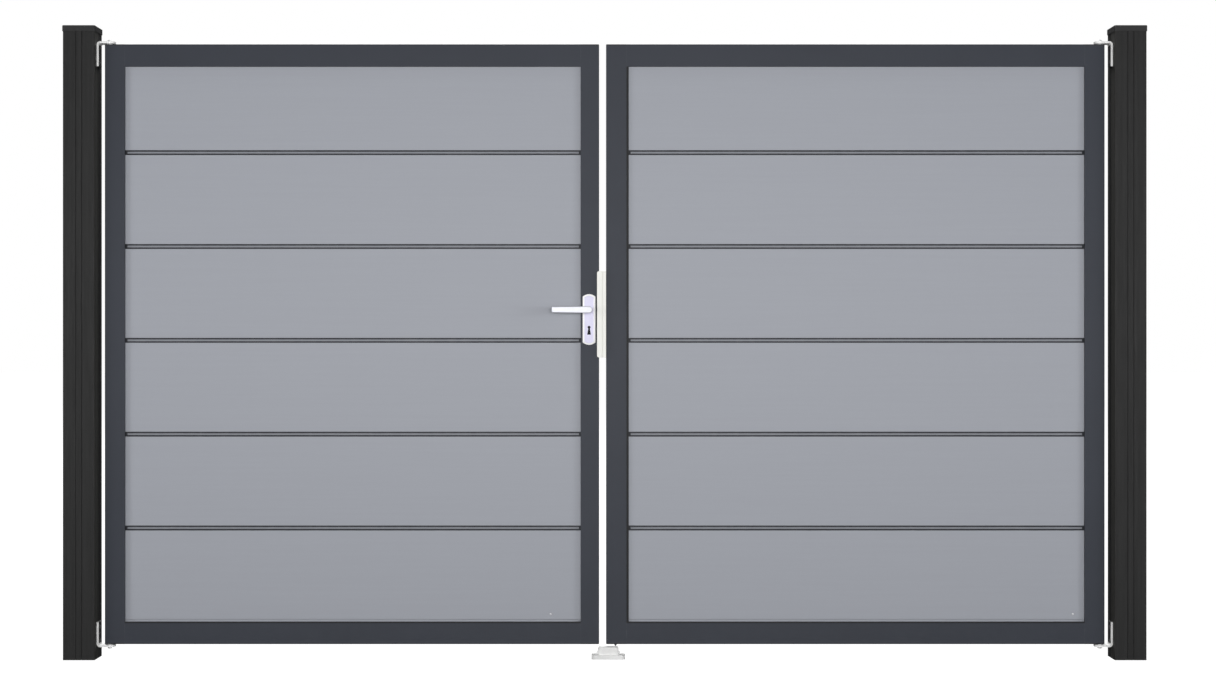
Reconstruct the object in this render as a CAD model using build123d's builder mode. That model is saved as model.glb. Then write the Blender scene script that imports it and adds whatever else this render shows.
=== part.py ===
"""Double gate: two aluminium leaves filled with interlocking boards, hung between two square posts.

The origin is the centre of the left post's base. +X runs along the gate to the right post,
+Y points to the back, where both leaves open, and +Z is up. All sizes are in millimetres.
"""

import os
from math import ceil, sqrt

from build123d import *

# Posts and their slip-over caps
post_width = 95.0
post_height = 1893.0
post_wall = 7.0
post_web = 6.0
post_corner = 2.5
groove_pitch = 18.0
groove_depth = 1.5
cap_top = 4.0
cap_skirt = 13.0
cap_wall = 1.7
cap_clearance = 0.3
cap_bevel = 1.5

# Leaves and the gaps around them
leaf_height = 1800.0
leaf_thickness = 40.0
ground_gap = 44.0
hinge_gap = 24.0
middle_gap = 21.0
field_width = 1368.0

# Frame sections
hinge_stile_width = 60.0
lock_stile_width = 55.0
meeting_stile_width = 68.0
meeting_nose = 7.0
notch_clearance = 0.2
rail_height = 67.0
frame_wall = 2.5
frame_corner = 3.0
channel_width = 22.0
channel_depth = 15.0
end_plate = 4.0
end_round = 2.5
plug_depth = 38.0
plug_clearance = 0.2

# Boards
board_thickness = 20.0
board_wall = 2.0
board_pitch = 282.0
board_webs = 2
board_edge = 0.8
joint_height = 14.7
rib_height = 5.0
rib_thickness = 16.0
rib_setback = 6.0
tongue_thickness = 10.0
tongue_depth = 10.0
tongue_clearance = 0.3
board_grip = 12.0
first_joint_drop = 1.4
shortest_board = 60.0

# Hinge brackets and pivot pins
bracket_width = 40.0
bracket_thickness = 6.0
bracket_leg = 75.0
bracket_arm = 52.0
bracket_bend = 4.0
arm_round = 16.0
bracket_screw_radius = 3.2
bracket_screw_head = 6.2
bracket_screw_inset = 16.0
bracket_screw_spacing = 42.0
pin_inset = 11.0
pin_radius = 5.0
pin_clearance = 0.06
pin_reach = 34.0
pin_head_radius = 6.5
pin_head_height = 6.0
pin_head_bevel = 1.5
pin_end_bevel = 1.0
pin_collar_radius = 9.0
pivot_gap = 3.0
running_gap = 0.3

# Lock, plates and levers
spindle_inset = 30.0
spindle_height = 1047.0
spindle_side = 8.0
spindle_bore = 7.0
key_drop = 63.4
key_eye_radius = 4.4
key_slot_height = 22.2
key_slot_top = 3.6
key_slot_bottom = 11.0
plate_width = 38.0
plate_height = 152.0
plate_thickness = 6.0
plate_arch = 7.5
plate_border = 5.5
plate_bevel = 1.8
plate_drop = 29.0
lever_length = 111.0
lever_hub_radius = 10.0
lever_tip_height = 17.2
lever_tip_round = 3.0
lever_thickness = 14.0
lever_stand_off = 27.0
lever_edge = 2.2
lever_back_edge = 2.0
neck_radius = 9.0
neck_socket = 19.0
forend_width = 22.0
forend_height = 210.0
forend_corner = 3.0
forend_clearance = 0.2
case_thickness = 16.0
case_height = 165.0
case_end_gap = 1.0
latch_height = 30.0
latch_width = 13.0
latch_recess = 0.8
bolt_height = 36.0
bolt_width = 9.0

# Keep with its stop lip
keep_height = 259.0
keep_bottom = 904.0
keep_thickness = 5.0
keep_overlap = 6.0
keep_lip_gap = 5.0
keep_groove = 1.2
keep_groove_place = 11.0
keep_corner = 6.0
strike_margin = 3.0

# Drop bolt
rod_inset = 28.5
rod_stand_off = 12.0
rod_radius = 5.0
rod_clearance = 0.1
rod_length = 290.0
rod_tip_height = 32.0
rod_tip_radius = 2.0
rod_tip_length = 9.0
rod_end_bevel = 1.0
bolt_plate_width = 34.0
bolt_plate_height = 250.0
bolt_plate_thickness = 3.0
bolt_plate_corner = 6.0
bolt_plate_bottom = 52.0
guide_radius = 10.0
guide_height = 22.0
guide_inset = 14.0
knob_radius = 4.5
knob_length = 30.0
knob_height = 195.0
knob_bevel = 2.0

# Ground stop
stop_offset = 10.8
stop_width = 100.0
stop_front = 36.0
stop_back = 20.0
stop_corner = 12.0
stop_base_height = 13.0
stop_bevel = 2.0
heel_width = 70.0
heel_back = 74.0
heel_corner = 14.0
block_width = 60.5
block_front = 28.0
block_depth = 24.0
block_top = 36.0
block_round = 5.0
block_bevel = 3.0
socket_radius = 8.0
anchor_radius = 4.0
anchor_head = 7.5
anchor_spacing = 36.0
anchor_place = 56.0

# Heights and places worked out from the sizes above
leaf_bottom = ground_gap
leaf_top = leaf_bottom + leaf_height
leaf_middle = (leaf_bottom + leaf_top) / 2
leaf_half = leaf_thickness / 2
tube_bottom = leaf_bottom + end_plate
tube_length = leaf_height - 2 * end_plate
post_face = post_width / 2
hinge_edge = post_face + hinge_gap
pin_x = hinge_edge + pin_inset
field_left = hinge_edge + hinge_stile_width
field_right = field_left + field_width
lock_edge = field_right + lock_stile_width
meeting_edge = lock_edge + middle_gap
right_field_left = meeting_edge + meeting_stile_width
gate_centre = (field_right + right_field_left) / 2
gate_plane = Plane.YZ.offset(gate_centre)
height_plane = Plane.XY.offset(leaf_middle)
arm_top = leaf_top + pivot_gap + bracket_thickness
spindle_x = lock_edge - spindle_inset
key_z = spindle_height - key_drop
plate_z = spindle_height - plate_drop
plate_face = leaf_half + plate_thickness
lever_back = plate_face + lever_stand_off
rod_x = meeting_edge + rod_inset
rod_y = leaf_half + rod_stand_off
stop_x = gate_centre + stop_offset

os.makedirs("parts", exist_ok=True)


def save(piece, name):
    """Label a finished piece and write its file."""
    piece.label = name
    export_step(piece, f"parts/{name}.step")


def save_mirrored(piece, name):
    """Write the piece's mirror image across the middle of the gate."""
    with BuildPart() as other:
        mirror(piece, about=gate_plane)
    save(other.part, name)


# Posts: extruded composite tubes with a cross web and two fine grooves along each face
post_chamber = (post_width - 2 * post_wall - post_web) / 2
groove_side = groove_depth * sqrt(2)

with BuildPart() as left_post:
    with BuildSketch():
        RectangleRounded(post_width, post_width, post_corner)
        with PolarLocations(post_width / 2, 4):
            with Locations((0, groove_pitch / 2), (0, -groove_pitch / 2)):
                Rectangle(groove_side, groove_side, rotation=45, mode=Mode.SUBTRACT)
        with GridLocations(post_chamber + post_web, post_chamber + post_web, 2, 2):
            Rectangle(post_chamber, post_chamber, mode=Mode.SUBTRACT)
    extrude(amount=post_height)
save(left_post.part, "left_post")
save_mirrored(left_post.part, "right_post")

# Post caps: flat lids with a skirt that slips over the post
cap_inside = post_width + 2 * cap_clearance
cap_outside = cap_inside + 2 * cap_wall

with BuildPart() as left_cap:
    with BuildSketch(Plane.XY.offset(post_height - cap_skirt)):
        RectangleRounded(cap_outside, cap_outside, post_corner + cap_clearance + cap_wall)
    extrude(amount=cap_skirt + cap_top)
    chamfer(left_cap.edges().group_by(Axis.Z)[-1], cap_bevel)
    with BuildSketch(Plane.XY.offset(post_height - cap_skirt)):
        RectangleRounded(cap_inside, cap_inside, post_corner + cap_clearance)
    extrude(amount=cap_skirt, mode=Mode.SUBTRACT)
save(left_cap.part, "left_post_cap")
save_mirrored(left_cap.part, "right_post_cap")

# Hinge brackets: bent flat bars, screwed to the post, whose arm reaches over the end of the leaf
with BuildPart() as top_bracket:
    with BuildSketch(Plane.XZ):
        with Locations((post_face, arm_top)):
            Rectangle(bracket_thickness, bracket_leg, align=(Align.MIN, Align.MAX))
            Rectangle(bracket_arm, bracket_thickness, align=(Align.MIN, Align.MAX))
    extrude(amount=bracket_width / 2, both=True)
    outer_bend = top_bracket.edges().filter_by(Axis.Y).sort_by_distance((post_face, 0, arm_top))[0]
    fillet(outer_bend, bracket_bend + bracket_thickness)
    bend_corner = (post_face + bracket_thickness, 0, arm_top - bracket_thickness)
    inner_bend = top_bracket.edges().filter_by(Axis.Y).sort_by_distance(bend_corner)[0]
    fillet(inner_bend, bracket_bend)
    arm_end = top_bracket.edges().filter_by(Axis.Z).group_by(Axis.X)[-1]
    fillet(arm_end, arm_round)
    with Locations((pin_x, 0, arm_top)):
        Hole(pin_radius + pin_clearance)
    for step in range(2):
        screw_z = arm_top - bracket_leg + bracket_screw_inset + step * bracket_screw_spacing
        with Locations(Plane((post_face + bracket_thickness, 0, screw_z), z_dir=(1, 0, 0))):
            CounterSinkHole(bracket_screw_radius, bracket_screw_head, depth=bracket_thickness)
save(top_bracket.part, "left_top_bracket")
save_mirrored(top_bracket.part, "right_top_bracket")

with BuildPart() as bottom_bracket:
    mirror(top_bracket.part, about=height_plane)
save(bottom_bracket.part, "left_bottom_bracket")
save_mirrored(bottom_bracket.part, "right_bottom_bracket")

# Pivot pins: riveted through the bracket's arm, with a collar that keeps the leaf off it
with BuildPart() as left_pins:
    with BuildSketch(Plane.XZ):
        with Locations((pin_x, arm_top)):
            Rectangle(pin_head_radius, pin_head_height, align=(Align.MIN, Align.MIN))
        with Locations((pin_x, leaf_top + running_gap)):
            Rectangle(pin_collar_radius, pivot_gap - running_gap, align=(Align.MIN, Align.MIN))
        with Locations((pin_x, leaf_top - pin_reach)):
            Rectangle(pin_radius, pin_reach + arm_top - leaf_top, align=(Align.MIN, Align.MIN))
    revolve(axis=Axis((pin_x, 0, 0), (0, 0, 1)))
    chamfer(left_pins.edges().group_by(Axis.Z)[-1], pin_head_bevel)
    chamfer(left_pins.edges().group_by(Axis.Z)[0], pin_end_bevel)
    mirror(about=height_plane)
save(left_pins.part, "left_hinge_pins")
save_mirrored(left_pins.part, "right_hinge_pins")


def frame_section(width, depth, nose=0.0):
    """Hollow frame section with a channel for the boards along its +X side and rounded corners on the other.

    The nose carries the channel's two lips past the box, which leaves a shadow line.
    """
    box = width - nose
    with BuildSketch() as section:
        with Locations((-width / 2, 0)):
            Rectangle(box, leaf_thickness, align=(Align.MIN, Align.CENTER))
        fillet(section.vertices().group_by(Axis.X)[0], frame_corner)
        with Locations((-width / 2 + frame_wall, 0)):
            inside = (box - 2 * frame_wall, leaf_thickness - 2 * frame_wall)
            Rectangle(*inside, align=(Align.MIN, Align.CENTER), mode=Mode.SUBTRACT)
        with Locations((width / 2, 0)):
            lips = (depth + frame_wall, channel_width + 2 * frame_wall)
            Rectangle(*lips, align=(Align.MAX, Align.CENTER))
            Rectangle(depth, channel_width, align=(Align.MAX, Align.CENTER), mode=Mode.SUBTRACT)
    return section.sketch


# Hinge stiles
hinge_section = frame_section(hinge_stile_width, channel_depth)

with BuildPart() as hinge_stile:
    with BuildSketch(Plane((hinge_edge + hinge_stile_width / 2, 0, tube_bottom))):
        add(hinge_section)
    extrude(amount=tube_length)
save(hinge_stile.part, "left_hinge_stile")
save_mirrored(hinge_stile.part, "right_hinge_stile")


def stile_end(edge, inward, width, plug_length):
    """Plate with a plug that closes a stile's top end, drawn inward from the stile's outer edge."""
    near = (Align.MIN if inward > 0 else Align.MAX, Align.CENTER)
    plug_width = width - channel_depth - 2 * frame_wall - 2 * plug_clearance
    plug_thickness = leaf_thickness - 2 * frame_wall - 2 * plug_clearance
    with BuildPart() as end:
        with BuildSketch(Plane.XY.offset(leaf_top - end_plate)) as outline:
            with Locations((edge, 0)):
                Rectangle(width, leaf_thickness, align=near)
            fillet(outline.vertices().sort_by_distance((edge, 0))[:2], frame_corner)
        extrude(amount=end_plate)
        rim = end.edges().group_by(Axis.Z)[-1].sort_by(Axis.X, reverse=inward < 0)
        fillet(rim[:-1], end_round)
        with BuildSketch(Plane.XY.offset(leaf_top - end_plate)):
            with Locations((edge + inward * (frame_wall + plug_clearance), 0)):
                Rectangle(plug_width, plug_thickness, align=near)
        extrude(amount=-plug_length)
    return end.part


# Pivot blocks: the hinge stile's ends, whose plugs hold the pins
with BuildPart() as left_blocks:
    add(stile_end(hinge_edge, 1, hinge_stile_width, plug_depth))
    with Locations((pin_x, 0, leaf_top)):
        Hole(pin_radius + pin_clearance)
    mirror(about=height_plane)
save(left_blocks.part, "left_pivot_blocks")
save_mirrored(left_blocks.part, "right_pivot_blocks")


# Keyhole: a round eye over a slot that widens downwards
def keyhole(y_offset):
    """Sketch of the keyhole on the upright plane that lies y_offset in front of the leaf's middle."""
    with BuildSketch(Plane.XZ.offset(y_offset)) as hole:
        with Locations((spindle_x, key_z + key_slot_height / 2)):
            Circle(key_eye_radius)
        with BuildLine():
            Polyline(
                (spindle_x - key_slot_bottom / 2, key_z - key_slot_height / 2),
                (spindle_x + key_slot_bottom / 2, key_z - key_slot_height / 2),
                (spindle_x + key_slot_top / 2, key_z + key_slot_height / 2),
                (spindle_x - key_slot_top / 2, key_z + key_slot_height / 2),
                close=True,
            )
        make_face()
    return hole.sketch


# Lock stile, with its spindle hole, keyhole and the mortise for the lock's forend
lock_section = frame_section(lock_stile_width, channel_depth)
key_cut = keyhole(leaf_half)
forend_z = plate_z

with BuildPart() as lock_stile:
    with BuildSketch(Plane((lock_edge - lock_stile_width / 2, 0, tube_bottom), x_dir=(-1, 0, 0))):
        add(lock_section)
    extrude(amount=tube_length)
    with BuildSketch(Plane.XZ.offset(leaf_half)):
        with Locations((spindle_x, spindle_height)):
            Circle(spindle_bore)
    extrude(amount=-leaf_thickness, mode=Mode.SUBTRACT)
    extrude(key_cut, amount=-leaf_thickness, mode=Mode.SUBTRACT)
    with BuildSketch(Plane.YZ.offset(lock_edge)):
        with Locations((0, forend_z)):
            RectangleRounded(forend_width, forend_height, forend_corner)
    extrude(amount=-frame_wall, mode=Mode.SUBTRACT)
save(lock_stile.part, "lock_stile")

# Lock case: flush forend with the ends of its latch and bolt, and the case behind it
lock_chamber = lock_stile_width - channel_depth - 2 * frame_wall
latch_z = spindle_height
bolt_z = key_z - bolt_height

with BuildPart() as lock_case:
    with BuildSketch(Plane.YZ.offset(lock_edge)):
        with Locations((0, forend_z)):
            forend = (forend_width - 2 * forend_clearance, forend_height - 2 * forend_clearance)
            RectangleRounded(*forend, forend_corner - forend_clearance)
    extrude(amount=-frame_wall)
    with BuildSketch(Plane.YZ.offset(lock_edge - frame_wall)):
        with Locations((0, forend_z)):
            Rectangle(case_thickness, case_height)
    extrude(amount=-(lock_chamber - case_end_gap))
    with BuildSketch(Plane.YZ.offset(lock_edge)):
        with Locations((0, latch_z)):
            Rectangle(latch_width, latch_height)
        with Locations((0, bolt_z)):
            Rectangle(bolt_width, bolt_height)
    extrude(amount=-latch_recess, mode=Mode.SUBTRACT)
    with BuildSketch(Plane.XZ.offset(case_thickness / 2)):
        with Locations((spindle_x, spindle_height)):
            Circle(spindle_bore)
    extrude(amount=-case_thickness, mode=Mode.SUBTRACT)
save(lock_case.part, "lock_case")

# Meeting stile of the right leaf, with the shadow line beside its boards
meeting_section = frame_section(meeting_stile_width, channel_depth, meeting_nose)

with BuildPart() as meeting_stile:
    with BuildSketch(Plane((meeting_edge + meeting_stile_width / 2, 0, tube_bottom))):
        add(meeting_section)
    extrude(amount=tube_length)
save(meeting_stile.part, "meeting_stile")

# End plates of the lock stile and the meeting stile
cap_places = {
    "lock_stile_caps": (lock_edge, -1, lock_stile_width),
    "meeting_stile_caps": (meeting_edge, 1, meeting_stile_width - meeting_nose),
}
for cap_name, cap_place in cap_places.items():
    with BuildPart() as caps:
        add(stile_end(*cap_place, plug_depth / 2))
        mirror(about=height_plane)
    save(caps.part, cap_name)

# Rails between the stiles: the bottom channel is deep enough for the lowest board's tongue to rest in
first_joint = leaf_bottom + rail_height - first_joint_drop
sill_depth = first_joint_drop + joint_height / 2 + tongue_depth
top_section = frame_section(rail_height, channel_depth)
bottom_section = frame_section(rail_height, sill_depth)


def rail(name, left_end, length, middle, inward, section, notch=0.0):
    """Write a rail whose channel faces inward, up or down; a notch at its left end clears a stile's nose."""
    end = Plane((left_end, 0, middle), x_dir=(0, 0, inward), z_dir=(1, 0, 0))
    with BuildPart() as bar:
        with BuildSketch(end):
            add(section)
        extrude(amount=length)
        if notch:
            with BuildSketch(end):
                Rectangle(rail_height, channel_width + 2 * frame_wall + 2 * notch_clearance)
            extrude(amount=notch, mode=Mode.SUBTRACT)
    save(bar.part, name)


top_middle = leaf_top - rail_height / 2
bottom_middle = leaf_bottom + rail_height / 2
notched_left = right_field_left - meeting_nose
notched_length = field_width + meeting_nose

rail("left_top_rail", field_left, field_width, top_middle, -1, top_section)
rail("left_bottom_rail", field_left, field_width, bottom_middle, 1, bottom_section)
rail("right_top_rail", notched_left, notched_length, top_middle, -1, top_section, meeting_nose)
rail("right_bottom_rail", notched_left, notched_length, bottom_middle, 1, bottom_section, meeting_nose)


def board_section(face_top, socket):
    """Hollow board seen from its end, with the middle of its lower joint at the sketch's origin.

    A thin neck crosses the joint, and its tongue stands in the socket of the board below.
    """
    half = joint_height / 2
    shelf = tongue_depth if socket else 0.0
    room = face_top - half - shelf - board_wall
    chamber = (room - board_wall * (board_webs + 1)) / (board_webs + 1)
    neck_length = joint_height + tongue_depth
    with BuildSketch() as section:
        with Locations((0, half)):
            Rectangle(board_thickness, face_top - half, align=(Align.CENTER, Align.MIN))
        chamfer(section.vertices(), board_edge)
        with Locations((0, half)):
            Rectangle(tongue_thickness, neck_length, align=(Align.CENTER, Align.MAX))
        for row in range(board_webs + 1):
            with Locations((0, half + board_wall + row * (chamber + board_wall))):
                hollow = board_thickness - 2 * board_wall
                Rectangle(hollow, chamber, align=(Align.CENTER, Align.MIN), mode=Mode.SUBTRACT)
        with Locations((0, half - board_wall)):
            bore = (tongue_thickness - 2 * board_wall, neck_length - 2 * board_wall)
            Rectangle(*bore, align=(Align.CENTER, Align.MAX), mode=Mode.SUBTRACT)
        if socket:
            with Locations((0, face_top)):
                mouth = tongue_thickness + 2 * tongue_clearance
                Rectangle(mouth, tongue_depth, align=(Align.CENTER, Align.MAX), mode=Mode.SUBTRACT)
    return section.sketch


# Boards, counted from the bottom, with ribs along the neck; the top one is cut to fit the top rail's channel
boards_top = leaf_top - rail_height + board_grip
board_count = ceil((boards_top - first_joint - shortest_board) / board_pitch)
full_section = board_section(board_pitch - joint_height / 2, True)
cut_section = board_section(boards_top - first_joint - (board_count - 1) * board_pitch, False)
rib_strip = (rib_thickness - tongue_thickness + board_wall) / 2

for number in range(board_count):
    outline = full_section if number < board_count - 1 else cut_section
    board_start = (field_left - board_grip, 0, first_joint + number * board_pitch)
    board_end = Plane(board_start, x_dir=(0, 1, 0), z_dir=(1, 0, 0))
    with BuildPart() as board:
        with BuildSketch(board_end):
            add(outline)
        extrude(amount=field_width + 2 * board_grip)
        with BuildSketch(board_end.offset(board_grip + rib_setback)):
            with GridLocations(rib_thickness - rib_strip, 0, 2, 1):
                Rectangle(rib_strip, rib_height)
        extrude(amount=field_width - 2 * rib_setback)
    save(board.part, f"left_board_{number + 1}")
    save_mirrored(board.part, f"right_board_{number + 1}")

# Lock plates: long shields with arched ends, a bevelled border, a keyhole and the lever's bore
plate_low = plate_z - plate_height / 2
plate_high = plate_z + plate_height / 2
plate_left = spindle_x - plate_width / 2
plate_right = spindle_x + plate_width / 2
plate_cut = keyhole(plate_face)

with BuildPart() as front_plate:
    with BuildSketch(Plane.XZ.offset(leaf_half)):
        with BuildLine():
            Line((plate_left, plate_low + plate_arch), (plate_left, plate_high - plate_arch))
            ThreePointArc(
                (plate_left, plate_high - plate_arch),
                (spindle_x, plate_high),
                (plate_right, plate_high - plate_arch),
            )
            Line((plate_right, plate_high - plate_arch), (plate_right, plate_low + plate_arch))
            ThreePointArc(
                (plate_right, plate_low + plate_arch),
                (spindle_x, plate_low),
                (plate_left, plate_low + plate_arch),
            )
        make_face()
    extrude(amount=plate_thickness)
    plate_front = front_plate.faces().sort_by(Axis.Y)[0]
    chamfer(plate_front.edges(), plate_border, length2=plate_bevel, reference=plate_front)
    extrude(plate_cut, amount=-plate_thickness, mode=Mode.SUBTRACT)
    with BuildSketch(Plane.XZ.offset(plate_face)):
        with Locations((spindle_x, spindle_height)):
            Circle(spindle_bore)
    extrude(amount=-plate_thickness, mode=Mode.SUBTRACT)
save(front_plate.part, "front_lock_plate")

with BuildPart() as rear_plate:
    mirror(front_plate.part, about=Plane.XZ)
save(rear_plate.part, "rear_lock_plate")

# Levers: straight tapered grips on a round neck with a square socket
with BuildPart() as front_lever:
    with BuildSketch(Plane.XZ.offset(lever_back)):
        with Locations((spindle_x, spindle_height)):
            Circle(lever_hub_radius)
        with Locations((spindle_x - lever_length, spindle_height)):
            tip = (2 * lever_hub_radius, lever_tip_height)
            RectangleRounded(*tip, lever_tip_round, align=(Align.MIN, Align.CENTER))
        make_hull()
    extrude(amount=lever_thickness)
    fillet(front_lever.edges().group_by(Axis.Y)[0], lever_edge)
    chamfer(front_lever.edges().group_by(Axis.Y)[-1], lever_back_edge)
    with BuildSketch(Plane.XZ.offset(plate_face + running_gap)):
        with Locations((spindle_x, spindle_height)):
            Circle(neck_radius)
    extrude(amount=lever_stand_off - running_gap + lever_thickness / 2)
    with BuildSketch(Plane.XZ.offset(plate_face + running_gap)):
        with Locations((spindle_x, spindle_height)):
            Rectangle(spindle_side, spindle_side)
    extrude(amount=neck_socket, mode=Mode.SUBTRACT)
save(front_lever.part, "front_lever")

with BuildPart() as rear_lever:
    mirror(front_lever.part, about=Plane.XZ)
save(rear_lever.part, "rear_lever")

# Square spindle between the two levers
with BuildPart() as spindle:
    with BuildSketch(Plane.XZ):
        with Locations((spindle_x, spindle_height)):
            Rectangle(spindle_side, spindle_side)
    extrude(amount=plate_face + running_gap + neck_socket, both=True)
save(spindle.part, "lever_spindle")

# Keep: an edge plate with a lip that laps over the front of the other leaf
lip_front = leaf_half + keep_lip_gap + keep_thickness
keep_left = lock_edge - keep_overlap

with BuildPart() as keep:
    with BuildSketch(Plane.XY.offset(keep_bottom)):
        with Locations((meeting_edge, -lip_front)):
            Rectangle(keep_thickness, lip_front + leaf_half, align=(Align.MAX, Align.MIN))
            Rectangle(meeting_edge - keep_left, keep_thickness, align=(Align.MAX, Align.MIN))
        with Locations((meeting_edge - keep_groove_place, -lip_front)):
            Rectangle(keep_groove, keep_groove, rotation=45, mode=Mode.SUBTRACT)
    extrude(amount=keep_height)
    lip_corners = keep.edges().filter_by(Axis.Y).group_by(Axis.X)[0]
    fillet(lip_corners, keep_corner)
    with BuildSketch(Plane.YZ.offset(meeting_edge)):
        with Locations((0, latch_z)):
            Rectangle(latch_width + strike_margin, latch_height + strike_margin)
        with Locations((0, bolt_z)):
            Rectangle(bolt_width + strike_margin, bolt_height + strike_margin)
    extrude(amount=-keep_thickness, mode=Mode.SUBTRACT)
save(keep.part, "lock_keep")

# Drop bolt plate with two round-nosed guides on the back of the meeting stile
bolt_plate_top = bolt_plate_bottom + bolt_plate_height
lower_guide = bolt_plate_bottom + guide_inset
upper_guide = bolt_plate_top - guide_inset - guide_height

with BuildPart() as bolt_plate:
    with BuildSketch(Plane.XZ.offset(-leaf_half)):
        with Locations((rod_x, (bolt_plate_bottom + bolt_plate_top) / 2)):
            RectangleRounded(bolt_plate_width, bolt_plate_height, bolt_plate_corner)
    extrude(amount=-bolt_plate_thickness)
    for guide_z in (lower_guide, upper_guide):
        with BuildSketch(Plane.XY.offset(guide_z)):
            with Locations((rod_x, rod_y)):
                Circle(guide_radius)
                Rectangle(2 * guide_radius, rod_stand_off, align=(Align.CENTER, Align.MAX))
        extrude(amount=guide_height)
    with Locations((rod_x, rod_y, bolt_plate_top)):
        Hole(rod_radius + rod_clearance)
save(bolt_plate.part, "drop_bolt_plate")

# Drop bolt rod with a conical tip and a knob between the guides, drawn in its raised place
with BuildPart() as rod:
    with BuildSketch(Plane((rod_x, rod_y, rod_tip_height))):
        Circle(rod_tip_radius)
    with BuildSketch(Plane((rod_x, rod_y, rod_tip_height + rod_tip_length))):
        Circle(rod_radius)
    loft()
    with BuildSketch(Plane((rod_x, rod_y, rod_tip_height + rod_tip_length))):
        Circle(rod_radius)
    extrude(amount=rod_length - rod_tip_length)
    chamfer(rod.edges().group_by(Axis.Z)[-1], rod_end_bevel)
    with BuildSketch(Plane.XZ.offset(-rod_y)):
        with Locations((rod_x, knob_height)):
            Circle(knob_radius)
    extrude(amount=-knob_length)
    chamfer(rod.edges().group_by(Axis.Y)[-1], knob_bevel)
save(rod.part, "drop_bolt_rod")

# Ground stop: a low rounded base with a block on it, and a heel behind for the socket and the anchors
with BuildPart() as ground_stop:
    with BuildSketch():
        with Locations((stop_x, (stop_back - stop_front) / 2)):
            RectangleRounded(stop_width, stop_front + stop_back, stop_corner)
        with Locations((stop_x, heel_back / 2)):
            RectangleRounded(heel_width, heel_back, heel_corner)
    extrude(amount=stop_base_height)
    chamfer(ground_stop.edges().group_by(Axis.Z)[-1], stop_bevel)
    with BuildSketch():
        with Locations((stop_x, block_depth / 2 - block_front)):
            RectangleRounded(block_width, block_depth, block_round)
    extrude(amount=block_top)
    chamfer(ground_stop.edges().group_by(Axis.Z)[-1], block_bevel)
    with Locations((rod_x, rod_y, stop_base_height)):
        Hole(socket_radius, depth=stop_base_height)
    with Locations((stop_x, anchor_place, stop_base_height)):
        with GridLocations(anchor_spacing, 0, 2, 1):
            CounterSinkHole(anchor_radius, anchor_head, depth=stop_base_height)
save(ground_stop.part, "ground_stop")
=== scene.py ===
"""Double gate: finishes, small fasteners, floor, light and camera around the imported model.

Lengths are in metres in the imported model's frame: +X along the gate, +Y to the back, +Z up.
"""

import logging
import math
from collections.abc import Sequence
from dataclasses import dataclass
from enum import Enum

import bpy
import numpy as np
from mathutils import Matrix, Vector


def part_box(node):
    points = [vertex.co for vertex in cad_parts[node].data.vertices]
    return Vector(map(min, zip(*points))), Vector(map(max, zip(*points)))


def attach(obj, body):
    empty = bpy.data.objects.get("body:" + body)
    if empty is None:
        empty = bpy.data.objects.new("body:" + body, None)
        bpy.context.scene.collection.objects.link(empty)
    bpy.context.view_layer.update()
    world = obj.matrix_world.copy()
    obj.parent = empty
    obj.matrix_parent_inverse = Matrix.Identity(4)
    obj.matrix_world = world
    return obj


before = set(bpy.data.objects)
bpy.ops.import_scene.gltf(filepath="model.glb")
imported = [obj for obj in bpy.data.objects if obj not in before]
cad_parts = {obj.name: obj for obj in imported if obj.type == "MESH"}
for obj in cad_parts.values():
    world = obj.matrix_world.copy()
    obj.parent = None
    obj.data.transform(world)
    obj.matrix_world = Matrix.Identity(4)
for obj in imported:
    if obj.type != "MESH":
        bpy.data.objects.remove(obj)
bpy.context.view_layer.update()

MM = 0.001
GATE_MIDDLE = 1.5813
LEFT_RIVET_INSET = 90.5 * MM
RIGHT_RIVET_INSET = 34.0 * MM
LINE_SQUEEZE = 0.02

log = logging.getLogger("double_gate")

Colour = tuple[float, float, float, float]
Point = tuple[float, float, float]
Span = tuple[float, float]


def tone(red: int, green: int, blue: int) -> Colour:
    """Turn an 8-bit screen colour into the linear colour that the shaders use.

    The curve is the usual one for screens: a straight line below its knee and a power above it.

    Args:
        red: red, 0 to 255.
        green: green, 0 to 255.
        blue: blue, 0 to 255.

    Returns:
        Linear red, green, blue and an alpha of one.
    """
    share = np.array((red, green, blue)) / 255
    linear = np.where(share <= 0.04045, share / 12.92, ((share + 0.055) / 1.055) ** 2.4)
    return (*linear.tolist(), 1.0)


class Axis(Enum):
    """Direction along which a finish was drawn, brushed or extruded, as the scale of its coordinates."""

    ALONG_GATE = (LINE_SQUEEZE, 1.0, 1.0)
    UPRIGHT = (1.0, 1.0, LINE_SQUEEZE)


class Effect(Enum):
    """Surface effects that several finishes share, each one node group."""

    GRAIN = "fine_grain"
    STREAKS = "drawn_streaks"
    DUST = "ground_dust"
    RUB = "rubbed_and_sheen_edges"


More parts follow.
